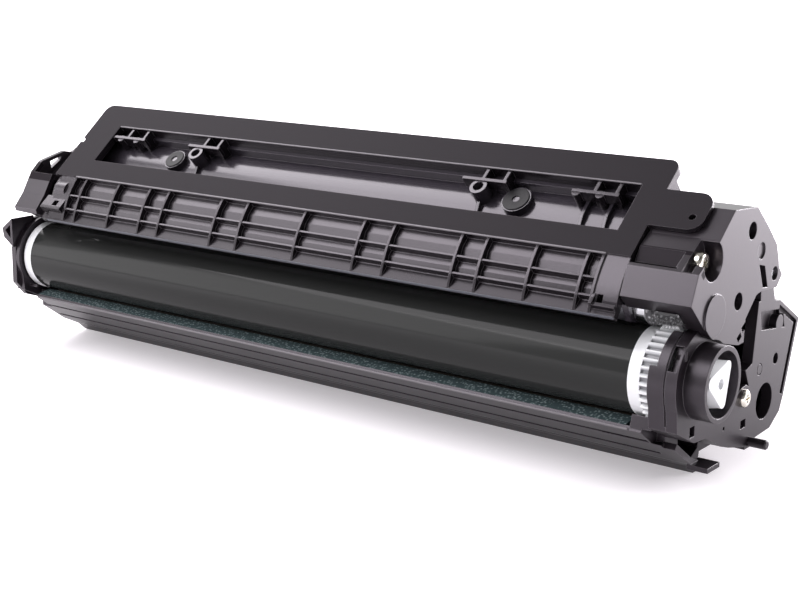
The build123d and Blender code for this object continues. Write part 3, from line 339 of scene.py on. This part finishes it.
def ring_round(name, center, profile, material, rough=0.0):
    """Ring round an axis along the drum's, from (x, radius) points, its surface uneven by the given amount."""
    chance = random.Random(3)

    def corner(angle, x, radius):
        r = radius + chance.uniform(-rough, rough)
        return place(x, center[0] + r * math.cos(angle), center[1] + r * math.sin(angle))

    return turned_piece(name, 56, profile, corner, material)


def washer(name, center, outer, inner, low, high, material):
    """Round pad with a hole and rounded rims, lying level in the toner section."""
    profile = ((inner, low), (inner, high - 0.08), (inner + 0.1, high), (outer - 0.18, high), (outer, high - 0.14),
               (outer, low))

    def corner(angle, radius, height):
        return lean(center[0] + radius * math.cos(angle), center[1] + radius * math.sin(angle), height)

    return turned_piece(name, 64, profile, corner, material, reverse=True)


SEAL_LEFT, SEAL_WIDTH, SEAL_DROP, SEAL_THICK = 245.4, 6.6, 2.9, 0.7
SEAL_FIBRES = 620


def end_seal():
    """Frayed felt seal under the gear cover's skirt, beside the developer roller's gear: a pad and its fibres."""
    chance = random.Random(7)
    columns, rows = 14, 8
    corners, faces = [], []
    for layer in (0, 1):
        for i in range(columns + 1):
            for j in range(rows + 1):
                down = j / rows
                bulge = 0.35 * math.sin(math.pi * down) + chance.uniform(-0.12, 0.12)
                y = -9.0 + SEAL_DROP * down - layer * SEAL_THICK * 0.7 - bulge * 0.7 * layer
                z = 18.7 - SEAL_DROP * down - layer * SEAL_THICK * 0.5 - bulge * 0.7 * layer
                corners.append(place(SEAL_LEFT + SEAL_WIDTH * i / columns, y, z))
    across = rows + 1
    size = (columns + 1) * across
    for i in range(columns):
        for j in range(rows):
            a, b, c, d = (i * across + j, (i + 1) * across + j, (i + 1) * across + j + 1, i * across + j + 1)
            faces.append((a, b, c, d))
            faces.append((size + d, size + c, size + b, size + a))
    for i in range(columns):
        for j in (0, rows):
            a, b = i * across + j, (i + 1) * across + j
            faces.append((b, a, size + a, size + b) if j == 0 else (a, b, size + b, size + a))
    for j in range(rows):
        for i in (0, columns):
            a, b = i * across + j, i * across + j + 1
            faces.append((a, b, size + b, size + a) if i == 0 else (b, a, size + a, size + b))
    for _ in range(SEAL_FIBRES):
        i, j = chance.uniform(0.02, 0.98), chance.uniform(0.05, 0.97)
        root = Vector((SEAL_LEFT + SEAL_WIDTH * i, -9.3 + SEAL_DROP * j, 18.3 - SEAL_DROP * j))
        way = Vector((chance.uniform(-0.4, 1.1), chance.uniform(-0.9, 0.0), chance.uniform(-0.8, 0.2))).normalized()
        length = chance.uniform(0.8, 1.9)
        bend = Vector((chance.uniform(-0.4, 0.4), chance.uniform(-0.3, 0.1), chance.uniform(-0.5, 0.1)))
        side = way.cross(Vector((0.3, 0.2, 1.0))).normalized()
        other = way.cross(side)
        base = len(corners)
        for step, width in ((0.0, 0.09), (0.55, 0.07), (1.0, 0.02)):
            at = root + way * length * step + bend * step * step * 0.6
            for turn in range(3):
                angle = 2 * math.pi * turn / 3
                corners.append(place(*(at + (side * math.cos(angle) + other * math.sin(angle)) * width)))
        for ring in (0, 3):
            for turn in range(3):
                nxt = (turn + 1) % 3
                faces.append((base + ring + turn, base + ring + nxt, base + ring + 3 + nxt, base + ring + 3 + turn))
        faces.append((base + 2, base + 1, base))
        faces.append((base + 6, base + 7, base + 8))
    return mesh_piece("end_seal_felt", corners, faces, fuzz)


PLATE_FRONT, PLATE_TOP, WINDOW_BACK = 15.0, 28.0, 39.3
PAD_TOP, PAD_COVER_TOP, PAD_HOLE = 24.08, 24.4, 1.1
ROLLER = (0.72, 17.23)
for piece in (
    prism("guide_bead", bead_section(PLATE_FRONT + 0.05, PLATE_TOP - 0.08, 0.3), 20.6, DRUM_LENGTH - 10.6,
          bead_highlight),
    prism("window_bead", bead_section(WINDOW_BACK - 0.02, PLATE_TOP - 0.08, 0.26), 23.2, DRUM_LENGTH - 11.2,
          bead_highlight),
    prism("lip_film", [(0.1, 20.85), (0.1, 21.7), (-0.1, 21.78), (-0.22, 21.7), (-0.22, 20.9), (-0.1, 20.82)],
          13.0, DRUM_LENGTH - 3.6, strip_film),
    washer("left_pad_cover", (54.0, 31.0), 3.5, PAD_HOLE, PAD_TOP, PAD_COVER_TOP, pad_black),
    washer("right_pad_cover", (DRUM_LENGTH - 49.0, 32.0), 4.1, PAD_HOLE, PAD_TOP, PAD_COVER_TOP, pad_black),
    ring_round("roller_end_cap", ROLLER, ((236.65, 4.56), (236.65, 4.66), (236.8, 4.74), (239.5, 4.74),
                                          (239.65, 4.66), (239.65, 4.56)), steel),
    ring_round("roller_felt", ROLLER, ((239.9, 4.56), (239.9, 4.72), (240.2, 4.86), (241.1, 4.9), (241.8, 4.84),
                                       (242.0, 4.6), (242.0, 4.56)), fuzz, 0.04),
    ring_round("gear_felt", ROLLER, ((242.2, 3.66), (242.2, 4.5), (242.5, 4.68), (243.0, 4.6), (243.4, 4.1),
                                     (244.2, 4.0), (244.2, 3.66)), fuzz, 0.05),
    end_seal(),
):
    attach(piece, "developer_unit")
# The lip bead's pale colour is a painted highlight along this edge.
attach(prism("lip_bead", bead_section(-11.1, -13.15, 0.34), 2.0, DRUM_LENGTH + 0.2, bead_highlight, put=place),
        "cleaning_unit")

# Stage: a white floor with a soft shadow, cast by the lamps and also painted round the cartridge, a white horizon
# under a dim ceiling, soft lamps and the camera

# The floor's glow rises outside this half width, depth and height, over these distances in metres; the dimmer glow
# nearer the cartridge is a painted shadow, seen by the camera and in reflections.
SHADOW_FOOTPRINT = (0.115, 0.03, 0.01)
GLOW_RISE = (0.0, 0.07)
SHINE_RISE = (0.05, 0.2)


def light_path_mix(tree, by_ray):
    """Sum of strengths, each counted only for its kind of ray."""
    path = tree.nodes.new("ShaderNodeLightPath")
    total = 0.0
    for ray, strength in by_ray:
        total = combined(tree, "ADD", total, combined(tree, "MULTIPLY", path.outputs[ray], strength))
    return total


def floor_shader(material, color, painted_shadow_glow, glow_far, reflected_shadow_glow):
    """Diffuse floor that takes the shadow and is lifted to white for the camera, more so away from the cartridge, so
    that a painted shadow lies round it; glossy rays see the same painted shadow.
    """
    material.use_nodes = True
    tree = material.node_tree
    tree.nodes.clear()
    diffuse = tree.nodes.new("ShaderNodeBsdfDiffuse")
    diffuse.inputs["Color"].default_value = (*color, 1)
    spot = vector(tree, "ABSOLUTE", tree.nodes.new("ShaderNodeNewGeometry").outputs["Position"])
    away = vector(tree, "LENGTH", vector(tree, "MAXIMUM", vector(tree, "SUBTRACT", spot, SHADOW_FOOTPRINT), (0, 0, 0)))
    glow = tree.nodes.new("ShaderNodeEmission")
    glow.inputs["Color"].default_value = (1.0, 0.96, 1.0, 1.0)
    feed(tree, glow.inputs["Strength"],
         light_path_mix(tree, (("Is Camera Ray", ramp(tree, away, *GLOW_RISE, painted_shadow_glow, glow_far)),
                               ("Is Glossy Ray", ramp(tree, away, *SHINE_RISE, reflected_shadow_glow, 1.0)))))
    both = tree.nodes.new("ShaderNodeAddShader")
    feed(tree, both.inputs[0], diffuse.outputs[0])
    feed(tree, both.inputs[1], glow.outputs[0])
    out = tree.nodes.new("ShaderNodeOutputMaterial")
    feed(tree, out.inputs["Surface"], both.outputs[0])


def stage_plane(name, center, width, depth):
    bpy.ops.mesh.primitive_plane_add(size=1.0, location=center)
    plane = bpy.context.object
    plane.name = name
    plane.scale = (width, depth, 1)
    material = bpy.data.materials.new(name)
    plane.data.materials.append(material)
    return material


# Glow 0.34 near the cartridge against 1.0 far for the camera, and 0.2 against 1.0 for glossy rays: a painted shadow
# round it.
floor_shader(stage_plane("floor", (0, 0, -0.0003), 40.0, 40.0), (0.8, 0.78, 0.8), 0.34, 1.0, 0.2)

# The ceiling's edge, and the side of the room toward the viewer, as they show in glossy surfaces
CEILING_STARTS = math.sin(math.radians(33))
CEILING_BLUR = 0.02
CEILING_LIGHT = 0.3
VIEWER = (math.sin(math.radians(45)), -math.cos(math.radians(45)), 0)
VIEWER_SIDE = (0.15, 0.4)
VIEWER_LIGHT = 0.25
ROOM_FILL = 0.5

world = bpy.data.worlds.new("studio")
bpy.context.scene.world = world
world.use_nodes = True
tree = world.node_tree
direction = tree.nodes.new("ShaderNodeTexCoord").outputs["Generated"]
split = tree.nodes.new("ShaderNodeSeparateXYZ")
feed(tree, split.inputs[0], direction)
horizon = ramp(tree, split.outputs["Z"], CEILING_STARTS - CEILING_BLUR, CEILING_STARTS + CEILING_BLUR,
               1.0, CEILING_LIGHT)
dim_front = ramp(tree, vector(tree, "DOT_PRODUCT", direction, VIEWER), *VIEWER_SIDE, 1.0, VIEWER_LIGHT)
background = tree.nodes["Background"]
background.inputs["Color"].default_value = (1.0, 1.0, 1.0, 1.0)
feed(tree, background.inputs["Strength"],
     light_path_mix(tree, (("Is Camera Ray", 1.0), ("Is Transmission Ray", 1.0),
                           ("Is Glossy Ray", combined(tree, "MULTIPLY", horizon, dim_front)),
                           ("Is Diffuse Ray", ROOM_FILL))))

LAMP_TARGET = Vector((0, 0, 0.04))


def softbox(name, azimuth, elevation, distance, width, height, power, color):
    """Rectangular lamp round the cartridge, facing its middle."""
    lamp = bpy.data.lights.new(name, "AREA")
    lamp.shape = "RECTANGLE"
    lamp.size = width
    lamp.size_y = height
    lamp.energy = power
    lamp.color = color
    obj = bpy.data.objects.new(name, lamp)
    bpy.context.scene.collection.objects.link(obj)
    a, e = math.radians(azimuth), math.radians(elevation)
    at = Vector((math.sin(a) * math.cos(e), -math.cos(a) * math.cos(e), math.sin(e))) * distance
    obj.location = at + LAMP_TARGET
    obj.rotation_euler = at.to_track_quat("Z", "Y").to_euler()


softbox("key_box", -66, 51, 1.0, 1.6, 0.54, 15.0, (1.0, 0.97, 1.0))
softbox("window_box", -44, 18, 0.97, 0.52, 0.62, 2.7, (1.0, 0.98, 1.0))
softbox("right_box", 150, 12, 0.9, 0.8, 0.3, 13.5, (1.0, 0.97, 1.0))

CAMERA_AZIMUTH = 38.19
CAMERA_ELEVATION = 13.55
camera_data = bpy.data.cameras.new("camera")
camera_data.lens = 66.17
camera_data.sensor_width = 36.0
camera = bpy.data.objects.new("camera", camera_data)
bpy.context.scene.collection.objects.link(camera)
camera.location = place(417.108, -331.035, 108.104)
camera.rotation_euler = Euler((math.radians(90 - CAMERA_ELEVATION), 0, math.radians(CAMERA_AZIMUTH)))
bpy.context.scene.camera = camera
bpy.context.scene.view_settings.view_transform = "Standard"
